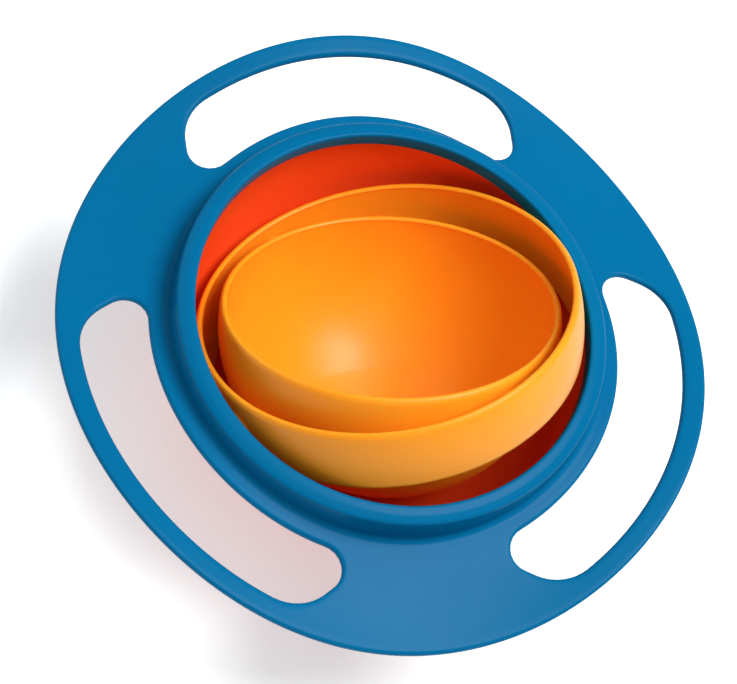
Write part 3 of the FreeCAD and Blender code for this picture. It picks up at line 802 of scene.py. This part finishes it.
def ramp(nodes, links, value, low, high, low_at=0.3, high_at=0.7):
    """A colour ramp between two greys or colours."""
    node = nodes.new("ShaderNodeValToRGB")
    for element, colour, place_at in zip(node.color_ramp.elements, (low, high), (low_at, high_at)):
        element.color = (*colour, 1)
        element.position = place_at
    links.new(value, node.inputs["Fac"])
    return node.outputs["Color"]


def plastic(name, colour, flow_colour, roughness, grain=0.00003, translucency=0.0, glow=(1, 0.5, 0.2),
            specular=0.4):
    """Moulded plastic: faint flow marks in the colour, uneven gloss, a fine skin, a few hair scratches."""
    material, nodes, links = node_tree(name)
    shader = nodes["Principled BSDF"]
    coordinates = nodes.new("ShaderNodeTexCoord").outputs["Object"]
    flow = noise(nodes, links, coordinates, 22, 3)
    links.new(ramp(nodes, links, flow, flow_colour, colour), shader.inputs["Base Color"])

    patches = noise(nodes, links, coordinates, 60, 4)
    scratches = noise(nodes, links, coordinates, 420, 1, (1.0, 0.03, 1.0))
    low, high = roughness
    gloss = ramp(nodes, links, patches, (low,) * 3, (high,) * 3)
    marks = ramp(nodes, links, scratches, (0, 0, 0), (1, 1, 1), 0.70, 0.76)
    lift = nodes.new("ShaderNodeMix")
    lift.data_type = "RGBA"
    lift.blend_type = "ADD"
    lift.inputs["Factor"].default_value = 0.04
    links.new(gloss, lift.inputs["A"])
    links.new(marks, lift.inputs["B"])
    links.new(lift.outputs["Result"], shader.inputs["Roughness"])

    skin = noise(nodes, links, coordinates, 1500, 2)
    waves = noise(nodes, links, coordinates, 45, 1)
    total = nodes.new("ShaderNodeMath")
    total.operation = "MULTIPLY_ADD"
    total.inputs[1].default_value = 6.0      # the long waves stand above the skin's grain
    links.new(waves, total.inputs[0])
    links.new(skin, total.inputs[2])
    bump = nodes.new("ShaderNodeBump")
    bump.inputs["Strength"].default_value = 0.5
    bump.inputs["Distance"].default_value = grain
    links.new(total.outputs["Value"], bump.inputs["Height"])
    links.new(bump.outputs["Normal"], shader.inputs["Normal"])

    shader.inputs["Specular IOR Level"].default_value = specular
    shader.inputs["Subsurface Weight"].default_value = translucency
    shader.inputs["Subsurface Radius"].default_value = glow
    shader.inputs["Subsurface Scale"].default_value = 0.004
    return material


def steel(name):
    """Turned stainless steel: fine rings of brushing and slightly uneven gloss."""
    material, nodes, links = node_tree(name)
    shader = nodes["Principled BSDF"]
    coordinates = nodes.new("ShaderNodeTexCoord").outputs["Object"]
    patches = noise(nodes, links, coordinates, 900, 3)
    tint = ramp(nodes, links, patches, (0.50, 0.49, 0.47), (0.66, 0.65, 0.63))
    links.new(tint, shader.inputs["Base Color"])
    links.new(ramp(nodes, links, patches, (0.22,) * 3, (0.38,) * 3), shader.inputs["Roughness"])
    brushing = noise(nodes, links, coordinates, 2500, 1, (1.0, 1.0, 0.1))
    bump = nodes.new("ShaderNodeBump")
    bump.inputs["Strength"].default_value = 0.3
    bump.inputs["Distance"].default_value = 0.00002
    links.new(brushing, bump.inputs["Height"])
    links.new(bump.outputs["Normal"], shader.inputs["Normal"])
    shader.inputs["Metallic"].default_value = 1.0
    return material


BLUE = plastic("blue_plastic", (0.0005, 0.138, 0.312), (0.0005, 0.130, 0.296), (0.25, 0.29), specular=0.04)
RED = plastic("red_plastic", (0.93, 0.090, 0.014), (0.89, 0.078, 0.012), (0.30, 0.36), translucency=0.10,
              glow=(1.0, 0.2, 0.1))
ORANGE = plastic("orange_plastic", (1.0, 0.35, 0.013), (0.98, 0.32, 0.011), (0.32, 0.38), translucency=0.42,
                 glow=(1.0, 0.45, 0.1), specular=0.25)
ACETAL = plastic("pin_plastic", (0.78, 0.75, 0.68), (0.70, 0.67, 0.60), (0.35, 0.45), translucency=0.1)
SOFT = plastic("foot_elastomer", (0.60, 0.66, 0.70), (0.54, 0.60, 0.65), (0.42, 0.55), grain=0.00005,
               translucency=0.3, glow=(0.8, 0.9, 1.0))
STEEL = steel("screw_steel")


def build_object():
    """Every piece of the bowl, in place of its CAD node."""
    finish_piece(add_posts(build_saucer()), "housing", "saucer_plastic", BLUE, "saucer")
    finish_piece(build_dome(), "housing", "dome_plastic", RED, "base_dome")
    finish_piece(build_foot(), "housing", "soft_foot", SOFT, "suction_foot")
    finish_piece(build_screws(), "housing", "screw_steel", STEEL, "saucer_screws")
    finish_piece(build_ring(), "ring", "bowl_plastic", ORANGE, "gimbal_ring")
    finish_piece(build_bowl(), "bowl", "bowl_plastic", ORANGE, "food_bowl")
    for side, place_name in ((-1, "front"), (1, "rear")):
        pin = build_ring_pin(side)
        pin.name = "ring_pin_" + place_name
        finish_piece(pin, "housing", "pin_plastic", ACETAL, "ring_pivot_pin_" + place_name)
    for side, place_name in ((-1, "left"), (1, "right")):
        pin = build_bowl_pin(side)
        pin.name = "bowl_pin_" + place_name
        finish_piece(pin, "bowl", "pin_plastic", ACETAL, "bowl_pivot_pin_" + place_name)


# ---- floor, light and camera ------------------------------------------------------------------------
def build_floor():
    """A wide sheet of pale paper with painted light: it glows a little, which lifts the shadows on it and
    lights the bowl from below, and its colour and glow are tinted a little cyan, a painted tint that cancels
    the red light the dome bounces into its shadows.
    """
    mesh = bpy.data.meshes.new("floor")
    reach = 6.0
    corners = [(-reach, -reach, 0), (reach, -reach, 0), (reach, reach, 0), (-reach, reach, 0)]
    mesh.from_pydata(corners, [], [(0, 1, 2, 3)])
    floor = bpy.data.objects.new("floor", mesh)
    bpy.context.scene.collection.objects.link(floor)
    material, nodes, links = node_tree("floor_paper")
    shader = nodes["Principled BSDF"]
    coordinates = nodes.new("ShaderNodeTexCoord").outputs["Object"]
    tone = noise(nodes, links, coordinates, 3, 2)
    # painted tint: both greys lean a little cyan to cancel the red bounce light in the floor's shadows; the
    # noise between them is the paper's uneven tone
    links.new(ramp(nodes, links, tone, (0.84, 0.87, 0.87), (0.86, 0.89, 0.89)), shader.inputs["Base Color"])
    shader.inputs["Roughness"].default_value = 0.9
    # painted light: the floor glows, which lifts its shadows and lights the bowl from below; the glow is
    # tinted cyan like the paper
    shader.inputs["Emission Color"].default_value = (0.9, 1, 1, 1)
    shader.inputs["Emission Strength"].default_value = 0.42
    mesh.materials.append(material)


def soft_light(name, target, azimuth, elevation, distance, size, power):
    """A square studio light; azimuth 0 stands at -Y and 90 at +X."""
    data = bpy.data.lights.new(name, "AREA")
    data.energy = power
    data.size = size
    lamp = bpy.data.objects.new(name, data)
    bpy.context.scene.collection.objects.link(lamp)
    a, e = math.radians(azimuth), math.radians(elevation)
    back = Vector((math.sin(a) * math.cos(e), -math.cos(a) * math.cos(e), math.sin(e)))
    lamp.location = Vector(target) + back * distance
    lamp.rotation_euler = back.to_track_quat("Z", "Y").to_euler()


def build_lights():
    """A soft key from behind on the right, a weak fill from the left and one from above."""
    world = bpy.data.worlds.new("studio")
    bpy.context.scene.world = world
    world.use_nodes = True
    background = world.node_tree.nodes["Background"]
    background.inputs["Color"].default_value = (1.0, 1.0, 1.0, 1)
    background.inputs["Strength"].default_value = 0.25
    top = (0, 0, LIP_Z * MM)
    soft_light("key", top, azimuth=143, elevation=68, distance=1.2, size=0.6, power=15)
    soft_light("left_fill", top, azimuth=-80, elevation=35, distance=1.6, size=1.0, power=3)
    soft_light("top_fill", top, azimuth=90, elevation=82, distance=1.5, size=1.4, power=5)


def build_camera():
    """The photograph's view: distance, direction and roll round a point near the collar's middle."""
    azimuth, elevation, roll = (math.radians(value) for value in (24.06, 62.11, 29.53))
    target = Vector((0.0029, -0.0156, LIP_Z * MM))
    distance = 0.6586
    data = bpy.data.cameras.new("camera")
    data.sensor_width = 36.0
    data.lens = 95.9
    data.clip_start = 0.01
    data.clip_end = 100
    camera = bpy.data.objects.new("camera", data)
    bpy.context.scene.collection.objects.link(camera)
    back = Vector((math.sin(azimuth) * math.cos(elevation), -math.cos(azimuth) * math.cos(elevation),
                   math.sin(elevation)))
    facing = back.to_track_quat("Z", "Y").to_matrix().to_4x4() @ Matrix.Rotation(roll, 4, "Z")
    camera.matrix_world = Matrix.Translation(target + back * distance) @ facing
    bpy.context.scene.camera = camera


build_object()
build_floor()
build_lights()
build_camera()
bpy.context.scene.view_settings.view_transform = "Standard"

bpy.context.view_layer.update()
